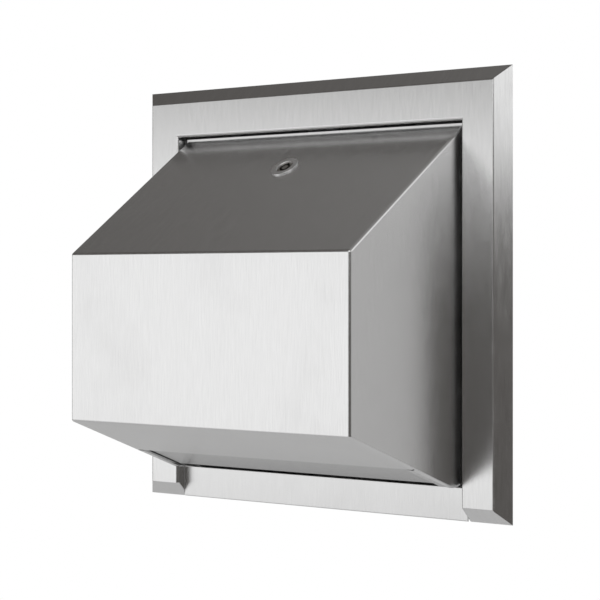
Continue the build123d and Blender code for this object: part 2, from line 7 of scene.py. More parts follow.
import bpy
import numpy as np
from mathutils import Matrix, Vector


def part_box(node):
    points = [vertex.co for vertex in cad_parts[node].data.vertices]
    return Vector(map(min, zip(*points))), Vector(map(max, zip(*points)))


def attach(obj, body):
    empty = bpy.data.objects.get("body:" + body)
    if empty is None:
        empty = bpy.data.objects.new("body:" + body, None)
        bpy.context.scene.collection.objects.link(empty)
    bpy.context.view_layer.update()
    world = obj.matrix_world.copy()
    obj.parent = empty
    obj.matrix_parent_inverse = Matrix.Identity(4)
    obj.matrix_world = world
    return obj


bl_info = {
    "name": "Towel dispenser looks",
    "version": (1, 0, 0),
    "blender": (4, 5, 0),
    "location": "3D View > Sidebar > Dispenser",
    "description": "Dresses the packed towel dispenser and sets its stage",
    "category": "Object",
}

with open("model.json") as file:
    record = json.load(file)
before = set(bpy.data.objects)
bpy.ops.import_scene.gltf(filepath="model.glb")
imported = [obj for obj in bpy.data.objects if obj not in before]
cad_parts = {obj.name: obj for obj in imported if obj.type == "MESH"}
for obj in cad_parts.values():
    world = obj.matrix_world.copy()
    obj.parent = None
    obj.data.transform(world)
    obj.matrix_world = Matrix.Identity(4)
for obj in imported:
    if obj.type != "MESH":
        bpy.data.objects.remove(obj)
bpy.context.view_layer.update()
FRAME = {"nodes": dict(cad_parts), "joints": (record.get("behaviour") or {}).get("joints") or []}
JOINTS = {joint["name"]: joint for joint in FRAME["joints"]}

MM = 0.001

# The lock's axis, and the middle of the frame in the wall's plane
LOCK_CENTRE = np.array(JOINTS["lock_turn"]["pos_m"])
LOCK_AXIS = np.array(JOINTS["lock_turn"]["axis"])
FRAME_MIDDLE = Vector((0.0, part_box("trim_frame")[1].y, 0.0))

# The thread on the cam's stud, from the slope's outer face inward. It has no flats: its limit lies
# well outside it
STUD_RADIUS = 2.95 * MM
STUD_DEPTH = 0.25 * MM
STUD_START = 25.1 * MM
STUD_END = 25.9 * MM
STUD_NO_FLAT = 2 * STUD_RADIUS

# How far a ridge stays under the barrel's flats
UNDER_SKIN = 0.05 * MM

# A thread's section, in shares of its pitch and of its depth, and the least share that it fades to
THREAD_HALF_BASE = 0.43
THREAD_HALF_CREST = 0.06
THREAD_ROOT = -0.3
THREAD_LEAST_FADE = 0.02

# A weld bead: how far its section swells, and how deep it sits in its corner, in shares of its radius
BEAD_SWELL = 0.1
BEAD_SEAT = 0.6

# Brushed sheet: the sheen's stretch, the roughness's change from scratch to scratch, what the marks of
# handling add to it and how big they are, and the bump as a strength and a depth
ANISOTROPY = 0.95
SHEEN_SPREAD = 0.05
HANDLING_ROUGHNESS = 0.03
HANDLING_SIZE = 0.09
GRAIN_BUMP = (0.02, 0.00003)

# The grain: the range that the tone is stretched to, how many fine scratches a broad one is wide, the
# fine ones' share of the tone, how sideways a face is when its scratches turn, and the lean toward X
TONE_STRETCH = (-1.1, 2.1)
BROAD_GRAIN = 9.0
FINE_SHARE = 0.65
SIDEWAYS = 0.75
LEVEL_LEAN = 0.2

# Plated and moulded skins: the bump's strength, with its depth where that is always the same, and the
# range of the roughness round its stated value
PLATED_BUMP = (0.10, 0.00003)
PLATED_RANGE = (0.0, 0.12)
MOULDED_BUMP = 0.25
MOULDED_RANGE = (-0.06, 0.08)

# The floor: its edge, and where it starts and ends turning into the backdrop
FLOOR_EDGE = 0.75
FLOOR_FADE = (0.42, 0.66)

# The studio: plain white for the camera, and the room's dark and light ends for the metal
WHITE = (1.0, 1.0, 1.0)
ROOM_DARK = (0.100, 0.094, 0.089)
ROOM_LIGHT = (1.10, 1.10, 1.10)

# Each panel: its middle's direction, its outer and inner edge in degrees, its light, and its share of
# that light at some heights over the horizon. A ramp starts at 0, so the heights are raised by RAMP_ZERO
RAMP_ZERO = 0.25
PANELS = (
    ((-0.660, -0.742, -0.07), 36.0, 12.0, 1.14, ((-0.13, 0.68), (-0.05, 1.0), (0.01, 0.97), (0.16, 0.0))),
    ((0.70, 0.70, 0.10), 48.0, 16.0, 0.84, ((0.03, 0.476), (0.11, 1.0))),
    ((-0.60, 0.70, -0.30), 52.0, 16.0, 0.50, ((0.0, 1.0),)),
    ((0.42, -0.85, 0.16), 48.0, 26.0, 2.05, ((0.03, 0.0), (0.085, 1.0))),
    ((0.20, 0.75, 0.62), 75.0, 25.0, 0.21, ((0.20, 0.0), (0.60, 1.0))),
)

# The lamp that lights the floor and the plastics
KEY_PLACE = (-1.1, -1.5, 0.9)
KEY_SIZE = 1.4
KEY_POWER = 1.6


# Settings

class SheetSettings(bpy.types.PropertyGroup):
    """The brushed stainless sheet."""

    colour: bpy.props.FloatVectorProperty(
        name="Steel", description="Colour of the bare steel", subtype="COLOR", size=3,
        min=0.0, max=1.0, default=(0.800, 0.800, 0.800),
    )
    roughness: bpy.props.FloatProperty(
        name="Roughness", description="Mean roughness of the brushed faces", min=0.0, max=1.0, default=0.205
    )
    grain_width: bpy.props.FloatProperty(
        name="Grain width", description="Distance between two scratches", unit="LENGTH", default=0.00036
    )
    grain_length: bpy.props.FloatProperty(
        name="Grain length", description="Length of one scratch", unit="LENGTH", default=0.016
    )
    grain_contrast: bpy.props.FloatProperty(
        name="Grain contrast", description="How much the grain changes the tone",
        min=0.0, max=1.0, default=0.055,
    )


class ThreadSettings(bpy.types.PropertyGroup):
    """The fine threads behind the lock, and the weld beads."""

    barrel_radius: bpy.props.FloatProperty(
        name="Barrel radius", description="Outer radius of the lock's barrel", unit="LENGTH",
        default=9.5 * MM,
    )
    barrel_flat: bpy.props.FloatProperty(
        name="Barrel flat", description="Distance of the barrel's flats from its axis", unit="LENGTH",
        default=8.6 * MM,
    )
    barrel_start: bpy.props.FloatProperty(
        name="Thread start", description="Where the bare thread starts, behind the slope's outer face",
        unit="LENGTH", default=9.4 * MM,
    )
    barrel_end: bpy.props.FloatProperty(
        name="Thread end", description="Where the barrel's thread ends, behind the slope's outer face",
        unit="LENGTH", default=16.6 * MM,
    )
    barrel_depth: bpy.props.FloatProperty(
        name="Thread depth", description="Height of the barrel's thread", unit="LENGTH", default=0.25 * MM
    )
    barrel_pitch: bpy.props.FloatProperty(
        name="Barrel pitch", description="Pitch of the barrel's thread", unit="LENGTH", default=1.0 * MM
    )
    stud_pitch: bpy.props.FloatProperty(
        name="Stud pitch", description="Pitch of the cam stud's thread", unit="LENGTH", default=0.8 * MM
    )
    weld_width: bpy.props.FloatProperty(
        name="Weld width", description="Radius of a weld bead's section", unit="LENGTH", default=0.8 * MM
    )


class StageSettings(bpy.types.PropertyGroup):
    """The camera, the floor and the light."""

    floor_drop: bpy.props.FloatProperty(
        name="Floor drop", description="Distance of the floor below the frame's middle", unit="LENGTH",
        default=0.34,
    )
    floor_colour: bpy.props.FloatVectorProperty(
        name="Floor", description="Colour of the floor under the part", subtype="COLOR", size=3,
        min=0.0, max=1.0, default=(0.60, 0.60, 0.60),
    )
    floor_glow: bpy.props.FloatProperty(
        name="Floor glow", description="Share of the backdrop's white that the metal sees in the floor",
        min=0.0, max=1.0, default=0.38,
    )
    floor_paleness: bpy.props.FloatProperty(
        name="Floor paleness", description="Share of the backdrop's white in the floor under the part",
        min=0.0, max=1.0, default=0.70,
    )
    camera_place: bpy.props.FloatVectorProperty(
        name="Camera", description="Camera's place from the middle of the trim frame, in the wall's plane",
        subtype="TRANSLATION", size=3, default=(1.1237, -1.2729, 0.0092),
    )
    camera_turn: bpy.props.FloatProperty(
        name="Camera turn", description="Turn of the level camera about the vertical", subtype="ANGLE",
        default=math.radians(41.95),
    )
    lens: bpy.props.FloatProperty(
        name="Lens", description="Focal length on a 36 mm sensor, in millimetres", default=129.9
    )
    rise: bpy.props.FloatProperty(
        name="Rise", description="Vertical shift of the lens, as a share of the picture", default=-0.0295
    )


# Surfaces

def grid_faces(rows, columns, closed_rows):
    """Quads of a grid of rows by columns: each joins a point to its next along both ways. Each row's last
    point is joined to its first, and the last row to the first where the rows are closed."""
    along = np.arange(rows if closed_rows else rows - 1)
    a, b = np.meshgrid(along, np.arange(columns), indexing="ij")
    a_next = (a + 1) % rows
    b_next = (b + 1) % columns
    corners = [a * columns + b, a_next * columns + b, a_next * columns + b_next, a * columns + b_next]
    return np.stack(corners, axis=-1).reshape(-1, 4)


def surface_piece(name, points, closed_rows=False, capped=True):
    """A smooth mesh over a grid of points. Open rows get a flat cap at each end, if it is capped."""
    rows, columns = points.shape[:2]
    faces = [tuple(face) for face in grid_faces(rows, columns, closed_rows)]
    if capped and not closed_rows:
        first = np.arange(columns)
        faces.append(tuple(first))
        faces.append(tuple((first + (rows - 1) * columns)[::-1]))
    mesh = bpy.data.meshes.new(name)
    mesh.from_pydata(points.reshape(-1, 3).tolist(), [], faces)
    mesh.validate()
    mesh.polygons.foreach_set("use_smooth", np.ones(len(mesh.polygons), bool))
    piece = bpy.data.objects.new(name, mesh)
    bpy.context.scene.collection.objects.link(piece)
    return piece


def axis_frame(axis):
    """The axis at unit length, and two directions square to it and to each other. The first is also
    square to X, or to Z for an axis along X."""
    axis = axis / np.linalg.norm(axis)
    side = np.array([1.0, 0.0, 0.0]) if abs(axis[0]) < 0.9 else np.array([0.0, 0.0, 1.0])
    first = np.cross(side, axis)
    first /= np.linalg.norm(first)
    return axis, first, np.cross(axis, first)


def thread_points(centre, axis, radius, depth, pitch, start, end, flat, steps_per_turn=48):
    """A thread's ridge. Along the helix, the angle grows with the distance along the axis, one turn for
    each pitch. Its section is a trapezoid: the base is 0.86 of the pitch wide and sits just under the
    shank, the crest is 0.12 of it wide, and the height is the depth, which fades to nearly nothing over
    the first and last half turn. Along the first side direction the ridge goes no farther out than the
    flat, as on a barrel with flats."""
    axis, first, second = axis_frame(axis)
    turns = abs(end - start) / pitch
    t = np.linspace(0.0, 1.0, int(turns * steps_per_turn) + 1)
    angle = 2 * math.pi * turns * t
    fade = np.clip(np.minimum(t, 1 - t) * turns * 2, THREAD_LEAST_FADE, 1.0)
    middle = centre + (start + (end - start) * t)[:, None] * axis
    half_base = THREAD_HALF_BASE * pitch
    half_crest = THREAD_HALF_CREST * pitch
    section = [(-half_base, THREAD_ROOT), (-half_crest, 1.0), (half_crest, 1.0), (half_base, THREAD_ROOT)]
    rings = []
    for shift, height in section:
        reach = radius + depth * height * fade
        to_flat = np.clip(np.cos(angle) * reach, -flat, flat)
        outward = to_flat[:, None] * first + (np.sin(angle) * reach)[:, None] * second
        rings.append(middle + outward + axis * shift * fade[:, None])
    return np.stack(rings, axis=1)


def bead_points(centre, axis, ring_radius, section_radius, ripples=22, steps=132, around=12):
    """A weld bead: a ring whose round section swells and shrinks by a tenth with the sine of the angle
    times the number of ripples, as the puddle of a weld leaves it."""
    axis, first, second = axis_frame(axis)
    u, v = np.meshgrid(
        np.linspace(0, 2 * math.pi, steps, endpoint=False),
        np.linspace(0, 2 * math.pi, around, endpoint=False), indexing="ij",
    )
    thick = section_radius * (1 + BEAD_SWELL * np.sin(u * ripples))
    reach = ring_radius + thick * np.cos(v)
    outward = np.cos(u)[..., None] * first + np.sin(u)[..., None] * second
    return centre + outward * reach[..., None] + axis * (thick * np.sin(v))[..., None]


def disc_points(edge, rings=6, around=64):
    """A flat disc at z = 0: rings of points whose radius grows evenly from a pinhole to the edge."""
    radius, angle = np.meshgrid(
        np.linspace(edge * 0.0002, edge, rings), np.linspace(0, 2 * math.pi, around, endpoint=False),
        indexing="ij",
    )
    return np.stack([radius * np.cos(angle), radius * np.sin(angle), np.zeros_like(radius)], axis=-1)


# Node groups

def add_node(tree, kind, place, **values):
    """A new node at a place in the tree, with some of its properties set."""
    node = tree.nodes.new(kind)
    node.location = place
    for key, value in values.items():
        setattr(node, key, value)
    return node


def maths(tree, operation, place, first, second=None):
    """A Math node whose inputs are sockets or numbers. It gives back its output."""
    node = add_node(tree, "ShaderNodeMath", place, operation=operation)
    for socket, value in zip(node.inputs, (first, second)):
        if value is None:
            continue
        if isinstance(value, (int, float)):
            socket.default_value = value
        else:
            tree.links.new(value, socket)
    return node.outputs[0]


def new_group(name, inputs, outputs):
    """An empty shader node group with named float inputs and outputs."""
    group = bpy.data.node_groups.new(name, "ShaderNodeTree")
    for title, default in inputs.items():
        socket = group.interface.new_socket(name=title, in_out="INPUT", socket_type="NodeSocketFloat")
        socket.default_value = default
    for title in outputs:
        group.interface.new_socket(name=title, in_out="OUTPUT", socket_type="NodeSocketFloat")
    start = add_node(group, "NodeGroupInput", (-1400, 0))
    end = add_node(group, "NodeGroupOutput", (900, 0))
    return group, start, end


def stretched_noise(tree, place, coordinates, scale_sockets):
    """Noise on coordinates that are multiplied axis by axis."""
    combine = add_node(tree, "ShaderNodeCombineXYZ", place)
    for socket, value in zip(combine.inputs, scale_sockets):
        tree.links.new(value, socket)
    stretch = add_node(tree, "ShaderNodeVectorMath", (place[0] + 180, place[1]), operation="MULTIPLY")
    tree.links.new(coordinates, stretch.inputs[0])
    tree.links.new(combine.outputs[0], stretch.inputs[1])
    noise = add_node(tree, "ShaderNodeTexNoise", (place[0] + 360, place[1]))
    noise.inputs["Scale"].default_value = 1.0
    noise.inputs["Detail"].default_value = 3.0
    noise.inputs["Roughness"].default_value = 0.62
    tree.links.new(stretch.outputs[0], noise.inputs["Vector"])
    return noise.outputs["Fac"]


def brushed_grain_group():
    """Straight scratches, thin across Y on faces that look sideways and thin across X on all others, so
    the grain runs up the sides, the front, the slope and the frame. They are noise on coordinates that
    are stretched along the scratch. Tone and Sheen are 0.5 on average; Height is for a Bump node."""
    group, start, end = new_group(
        "brushed_grain", {"Width": 0.0006, "Length": 0.05}, ("Tone", "Sheen", "Height")
    )
    place = add_node(group, "ShaderNodeTexCoord", (-1400, 400))
    fine = maths(group, "DIVIDE", (-1200, 100), 1.0, start.outputs["Width"])
    slow = maths(group, "DIVIDE", (-1200, -60), 1.0, start.outputs["Length"])
    broad = maths(group, "DIVIDE", (-1200, -220), fine, BROAD_GRAIN)
    split = add_node(group, "ShaderNodeSeparateXYZ", (-1200, 500))
    group.links.new(place.outputs["Normal"], split.inputs[0])
    sideways = maths(group, "ABSOLUTE", (-1020, 500), split.outputs["X"])
    is_side = maths(group, "GREATER_THAN", (-860, 500), sideways, SIDEWAYS)
    spots = place.outputs["Object"]
    layers = []
    for row, across in ((0, fine), (1, broad)):
        facing = stretched_noise(group, (-800, 200 - row * 500), spots, (across, slow, slow))
        turned = stretched_noise(group, (-800, -20 - row * 500), spots, (slow, across, slow))
        blend = add_node(group, "ShaderNodeMix", (-200, 150 - row * 500), data_type="FLOAT")
        group.links.new(is_side, blend.inputs["Factor"])
        group.links.new(facing, blend.inputs["A"])
        group.links.new(turned, blend.inputs["B"])
        layers.append(blend.outputs["Result"])
    fine_part = maths(group, "MULTIPLY", (60, 200), layers[0], FINE_SHARE)
    broad_part = maths(group, "MULTIPLY", (60, 20), layers[1], 1.0 - FINE_SHARE)
    tone = maths(group, "ADD", (240, 120), fine_part, broad_part)
    group.links.new(tone, end.inputs["Tone"])
    group.links.new(layers[1], end.inputs["Sheen"])
    group.links.new(layers[0], end.inputs["Height"])
    return group


def handling_group():
    """Cloudy marks from wiping and handling: wide soft noise, which is 0 where the metal is clean."""
    group, start, end = new_group("handling_marks", {"Size": 0.08}, ("Mask",))
    place = add_node(group, "ShaderNodeTexCoord", (-1100, 200))
    noise = add_node(group, "ShaderNodeTexNoise", (-700, 100))
    scale = maths(group, "DIVIDE", (-900, 0), 1.0, start.outputs["Size"])
    group.links.new(scale, noise.inputs["Scale"])
    noise.inputs["Detail"].default_value = 5.0
    noise.inputs["Distortion"].default_value = 0.4
    group.links.new(place.outputs["Object"], noise.inputs["Vector"])
    ramp = add_node(group, "ShaderNodeMapRange", (-450, 100), interpolation_type="SMOOTHSTEP")
    ramp.inputs["From Min"].default_value = 0.45
    ramp.inputs["From Max"].default_value = 0.75
    group.links.new(noise.outputs["Fac"], ramp.inputs["Value"])
    group.links.new(ramp.outputs["Result"], end.inputs["Mask"])
    return group


def speckle_group():
    """The fine uneven skin of a plated, cast or moulded surface: noise, and for the height that noise
    times the distance to the nearest of some scattered points."""
    group, start, end = new_group("skin_speckle", {"Size": 0.0012}, ("Tone", "Height"))
    place = add_node(group, "ShaderNodeTexCoord", (-1100, 200))
    scale = maths(group, "DIVIDE", (-900, 0), 1.0, start.outputs["Size"])
    noise = add_node(group, "ShaderNodeTexNoise", (-650, 150))
    noise.inputs["Detail"].default_value = 4.0
    cells = add_node(group, "ShaderNodeTexVoronoi", (-650, -150))
    for texture in (noise, cells):
        group.links.new(scale, texture.inputs["Scale"])
        group.links.new(place.outputs["Object"], texture.inputs["Vector"])
    mixed = maths(group, "MULTIPLY", (-350, 0), noise.outputs["Fac"], cells.outputs["Distance"])
    group.links.new(noise.outputs["Fac"], end.inputs["Tone"])
    group.links.new(mixed, end.inputs["Height"])
    return group


# Materials

def new_material(name):
    """A node material, with its tree and its Principled shader."""
    material = bpy.data.materials.new(name)
    material.use_nodes = True
    tree = material.node_tree
    return material, tree, tree.nodes["Principled BSDF"]


def place_group(tree, group, place, **values):
    """A node group in a tree, with its inputs set by name."""
    node = add_node(tree, "ShaderNodeGroup", place, node_tree=group)
    for title, value in values.items():
        node.inputs[title].default_value = value
    return node


def scaled_range(tree, place, value, low, high):
    """The value, from 0 to 1, mapped to run from low to high."""
    node = add_node(tree, "ShaderNodeMapRange", place)
    node.inputs["To Min"].default_value = low
    node.inputs["To Max"].default_value = high
    tree.links.new(value, node.inputs["Value"])
    return node.outputs["Result"]


def tinted(tree, place, factor, dark, light):
    """A colour between two, by a factor. Each of the two is a colour or a socket."""
    node = add_node(tree, "ShaderNodeMix", place, data_type="RGBA")
    for socket, colour in zip((s for s in node.inputs if s.type == "RGBA"), (dark, light)):
        if isinstance(colour, bpy.types.NodeSocket):
            tree.links.new(colour, socket)
        else:
            socket.default_value = (*colour, 1.0)
    tree.links.new(factor, node.inputs["Factor"])
    return next(socket for socket in node.outputs if socket.type == "RGBA")


def bump(tree, shader, height, strength, distance):
    """Raises the shader's normal by a height."""
    node = add_node(tree, "ShaderNodeBump", (-250, -350))
    node.inputs["Strength"].default_value = strength
    node.inputs["Distance"].default_value = distance
    tree.links.new(height, node.inputs["Height"])
    tree.links.new(node.outputs["Normal"], shader.inputs["Normal"])


def across_grain(tree, place):
    """The direction across the scratches, which the sheen spreads along: Z crossed with the face's
    normal, and a little X, so that a level face has one too."""
    spot = add_node(tree, "ShaderNodeTexCoord", place)
    level = add_node(tree, "ShaderNodeVectorMath", (place[0] + 180, place[1]), operation="CROSS_PRODUCT")
    level.inputs[0].default_value = (0.0, 0.0, 1.0)
    tree.links.new(spot.outputs["Normal"], level.inputs[1])
    leaning = add_node(tree, "ShaderNodeVectorMath", (place[0] + 360, place[1]), operation="ADD")
    leaning.inputs[1].default_value = (LEVEL_LEAN, 0.0, 0.0)
    tree.links.new(level.outputs["Vector"], leaning.inputs[0])
    turned = add_node(
        tree, "ShaderNodeVectorTransform", (place[0] + 540, place[1]), vector_type="VECTOR",
        convert_from="OBJECT", convert_to="WORLD",
    )
    tree.links.new(leaning.outputs["Vector"], turned.inputs[0])
    return turned.outputs[0]


def brushed_steel(name, groups, colour, roughness, width, length, contrast):
    """Brushed sheet: the grain changes the tone and the roughness, and marks from hands cloud it."""
    material, tree, shader = new_material(name)
    shader.inputs["Metallic"].default_value = 1.0
    shader.inputs["Anisotropic"].default_value = ANISOTROPY
    grain = place_group(tree, groups["grain"], (-1000, 200), Width=width, Length=length)
    marks = place_group(tree, groups["marks"], (-1000, -200), Size=HANDLING_SIZE)
    dark = [channel * (1 - contrast) for channel in colour]
    light = [min(1.0, channel * (1 + contrast)) for channel in colour]
    sharpened = scaled_range(tree, (-800, 250), grain.outputs["Tone"], *TONE_STRETCH)
    tree.links.new(tinted(tree, (-500, 250), sharpened, dark, light), shader.inputs["Base Color"])
    low, high = roughness - SHEEN_SPREAD, roughness + SHEEN_SPREAD
    streaks = scaled_range(tree, (-700, 0), grain.outputs["Sheen"], low, high)
    cloud = maths(tree, "MULTIPLY", (-700, -200), marks.outputs["Mask"], HANDLING_ROUGHNESS)
    total = maths(tree, "ADD", (-450, -50), streaks, cloud)
    tree.links.new(total, shader.inputs["Roughness"])
    tree.links.new(across_grain(tree, (-1000, -600)), shader.inputs["Tangent"])
    bump(tree, shader, grain.outputs["Height"], *GRAIN_BUMP)
    return material


def plated_metal(name, groups, dark, light, roughness, size):
    """Zinc or chrome plating over a stamped or cast part."""
    material, tree, shader = new_material(name)
    shader.inputs["Metallic"].default_value = 1.0
    skin = place_group(tree, groups["skin"], (-900, 200), Size=size)
    marks = place_group(tree, groups["marks"], (-900, -150), Size=0.02)
    colour = tinted(tree, (-500, 250), skin.outputs["Tone"], dark, light)
    tree.links.new(colour, shader.inputs["Base Color"])
    low, high = (roughness + change for change in PLATED_RANGE)
    rough = scaled_range(tree, (-500, -100), marks.outputs["Mask"], low, high)
    tree.links.new(rough, shader.inputs["Roughness"])
    bump(tree, shader, skin.outputs["Height"], *PLATED_BUMP)
    return material


def moulded(name, groups, dark, light, roughness, size, depth):
    """Moulded plastic or rubber, with a fine matt skin."""
    material, tree, shader = new_material(name)
    skin = place_group(tree, groups["skin"], (-900, 200), Size=size)
    colour = tinted(tree, (-500, 250), skin.outputs["Tone"], dark, light)
    tree.links.new(colour, shader.inputs["Base Color"])
    low, high = (roughness + change for change in MOULDED_RANGE)
    rough = scaled_range(tree, (-500, -100), skin.outputs["Tone"], low, high)
    tree.links.new(rough, shader.inputs["Roughness"])
    bump(tree, shader, skin.outputs["Height"], MOULDED_BUMP, depth)
    return material


def node_groups():
    """The three effects that the materials share, made the first time they are asked for."""
    makers = {
        "grain": ("brushed_grain", brushed_grain_group),
        "marks": ("handling_marks", handling_group),
        "skin": ("skin_speckle", speckle_group),
    }
    return {key: bpy.data.node_groups.get(name) or make() for key, (name, make) in makers.items()}


def dress(names, material):
    """Gives CAD nodes one material each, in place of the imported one."""
    for name in names:
        mesh = FRAME["nodes"][name].data
        mesh.materials.clear()
        mesh.materials.append(material)


def add_piece(piece, body, material):
    """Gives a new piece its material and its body."""
    piece.data.materials.append(material)
    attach(piece, body)


def sheet_material(name, tone=1.0, rougher=0.0, length_share=1.0):
    """Brushed sheet from the scene's settings, for one sheet of the dispenser."""
    steel = bpy.context.scene.dispenser_sheet
    colour = [channel * tone for channel in steel.colour]
    return brushed_steel(
        name, node_groups(), colour, steel.roughness + rougher, steel.grain_width,
        steel.grain_length * length_share, steel.grain_contrast,
    )


def zinc_material():
    """The one zinc plating of the fittings, made the first time it is asked for."""
    found = bpy.data.materials.get("zinc_plate")
    return found or plated_metal(
        "zinc_plate", node_groups(), (0.50, 0.51, 0.52), (0.66, 0.67, 0.68), 0.30, 0.0016
    )


# Operators

class DISPENSER_OT_cabinet(bpy.types.Operator):
    """Finish the trim frame, the apron and the box in the wall"""

    bl_idname = "dispenser.cabinet"
    bl_label = "Finish the cabinet"

    def execute(self, context):
        dress(["trim_frame"], sheet_material("frame_steel"))
        dress(["apron_plate"], sheet_material("apron_steel", tone=0.96))
        dress(["wall_box"], sheet_material("box_steel", tone=0.92, rougher=0.10, length_share=1.6))
        return {"FINISHED"}


class DISPENSER_OT_hood(bpy.types.Operator):
    """Finish the hood and the beads that weld its studs on"""

    bl_idname = "dispenser.hood"
    bl_label = "Finish the hood"

    def execute(self, context):
        dress(["hood_shell"], sheet_material("hood_steel"))
        studs = ["pivot_stud_left", "pivot_stud_right", "stop_stud_left", "stop_stud_right"]
        dress(studs + ["pivot_clips", "lock_doubler"], zinc_material())
        width = context.scene.dispenser_threads.weld_width
        weld = plated_metal(
            "weld_bead", node_groups(), (0.34, 0.31, 0.28), (0.58, 0.55, 0.50), 0.34, 0.0009
        )
        for name in studs:
            low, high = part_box(name)
            outer = high.x if high.x > 0 else low.x
            inward = -math.copysign(1.0, outer)
            seat = width * BEAD_SEAT
            centre = np.array([outer + inward * seat, (low.y + high.y) / 2, (low.z + high.z) / 2])
            ring = (high.y - low.y) / 2 - seat
            points = bead_points(centre, np.array([1.0, 0.0, 0.0]), ring, width)
            piece = surface_piece(f"weld_{name}", points, closed_rows=True)
            add_piece(piece, "hood", weld)
        return {"FINISHED"}


class DISPENSER_OT_lock(bpy.types.Operator):
    """Finish the lock and cut its threads"""

    bl_idname = "dispenser.lock"
    bl_label = "Finish the lock"

    def execute(self, context):
        groups = node_groups()
        chrome = plated_metal(
            "lock_chrome", groups, (0.86, 0.86, 0.86), (0.96, 0.96, 0.96), 0.40, 0.004
        )
        core = plated_metal(
            "lock_core_nickel", groups, (0.42, 0.41, 0.39), (0.60, 0.59, 0.57), 0.24, 0.0012
        )
        dress(["lock_body", "lock_nut"], chrome)
        dress(["lock_plug"], core)
        dress(["lock_cam", "cam_nut", "lock_washer"], zinc_material())
        sizes = context.scene.dispenser_threads
        barrel = surface_piece(
            "lock_barrel_thread",
            thread_points(
                LOCK_CENTRE, LOCK_AXIS, sizes.barrel_radius, sizes.barrel_depth, sizes.barrel_pitch,
                -sizes.barrel_end, -sizes.barrel_start, sizes.barrel_flat - UNDER_SKIN,
            ),
        )
        add_piece(barrel, "hood", chrome)
        stud = surface_piece(
            "cam_stud_thread",
            thread_points(
                LOCK_CENTRE, LOCK_AXIS, STUD_RADIUS, STUD_DEPTH, sizes.stud_pitch, -STUD_END, -STUD_START,
                STUD_NO_FLAT,
            ),
        )
        add_piece(stud, "lock_core", core)
        return {"FINISHED"}


class DISPENSER_OT_inside(bpy.types.Operator):
    """Finish the magazine, the brackets and the fasteners"""

    bl_idname = "dispenser.inside"
    bl_label = "Finish the inside"

    def execute(self, context):
        groups = node_groups()
        dress(["towel_magazine"], sheet_material("magazine_steel", tone=0.85))
        plated = [
            "hinge_bracket_left", "hinge_bracket_right", "keeper_bracket", "keeper_screws", "keeper_nuts",
            "bracket_screws", "bracket_nuts", "magazine_screws", "magazine_nuts", "cheek_screws",
            "cheek_nuts",
        ]
        dress(plated, zinc_material())
        acetal = moulded(
            "black_acetal", groups, (0.020, 0.020, 0.022), (0.045, 0.045, 0.048), 0.42, 0.0010, 0.00003
        )
        dress(["hinge_bush_left", "hinge_bush_right", "cheek_spacers"], acetal)
        rubber = moulded(
            "black_rubber", groups, (0.014, 0.014, 0.014), (0.036, 0.035, 0.034), 0.78, 0.0007, 0.00008
        )
        dress(["open_stop_pads", "closed_stop_pads"], rubber)
        return {"FINISHED"}


def panel_light(tree, row, direction, height, panel):
    """One soft panel of the studio. Its light depends on the cosine between the ray and the panel's
    middle, times a share that runs smoothly from stop to stop with the height of the ray."""
    toward, outer, inner, light, shares = panel
    dot = add_node(tree, "ShaderNodeVectorMath", (-650, -200 * row), operation="DOT_PRODUCT")
    tree.links.new(direction, dot.inputs[0])
    dot.inputs[1].default_value = Vector(toward).normalized()
    edge = add_node(tree, "ShaderNodeMapRange", (-430, -200 * row), interpolation_type="SMOOTHSTEP")
    edge.inputs["From Min"].default_value = math.cos(math.radians(outer))
    edge.inputs["From Max"].default_value = math.cos(math.radians(inner))
    edge.inputs["To Max"].default_value = light
    tree.links.new(dot.outputs["Value"], edge.inputs["Value"])
    ramp = add_node(tree, "ShaderNodeValToRGB", (-430, -200 * row - 100))
    ramp.color_ramp.interpolation = "EASE"
    stops = ramp.color_ramp.elements
    stops.remove(stops[1])
    for number, (level, share) in enumerate(shares):
        stop = stops[0] if number == 0 else stops.new(level + RAMP_ZERO)
        stop.position = level + RAMP_ZERO
        stop.color = (share, share, share, 1.0)
    tree.links.new(height, ramp.inputs["Fac"])
    return maths(tree, "MULTIPLY", (-150, -200 * row), edge.outputs["Result"], ramp.outputs["Color"])


def studio_world():
    """A plain studio in one shader: a soft grey room with five soft panels, which only the metal sees.
    The camera sees plain white."""
    world = bpy.data.worlds.new("studio")
    world.use_nodes = True
    tree = world.node_tree
    tree.nodes.clear()
    output = add_node(tree, "ShaderNodeOutputWorld", (900, 0))
    background = add_node(tree, "ShaderNodeBackground", (650, 0))
    direction = add_node(tree, "ShaderNodeTexCoord", (-900, 0)).outputs["Generated"]
    split = add_node(tree, "ShaderNodeSeparateXYZ", (-900, 300))
    tree.links.new(direction, split.inputs[0])
    height = maths(tree, "ADD", (-700, 300), split.outputs["Z"], RAMP_ZERO)
    total = panel_light(tree, 0, direction, height, PANELS[0])
    for row, panel in enumerate(PANELS[1:], start=1):
        light = panel_light(tree, row, direction, height, panel)
        total = maths(tree, "ADD", (-200, -200 * row), total, light)
    room = tinted(tree, (0, 0), total, ROOM_DARK, ROOM_LIGHT)
    rays = add_node(tree, "ShaderNodeLightPath", (0, 350))
    seen = tinted(tree, (350, 0), rays.outputs["Is Camera Ray"], room, WHITE)
    tree.links.new(seen, background.inputs["Color"])
    tree.links.new(background.outputs[0], output.inputs["Surface"])
    bpy.context.scene.world = world


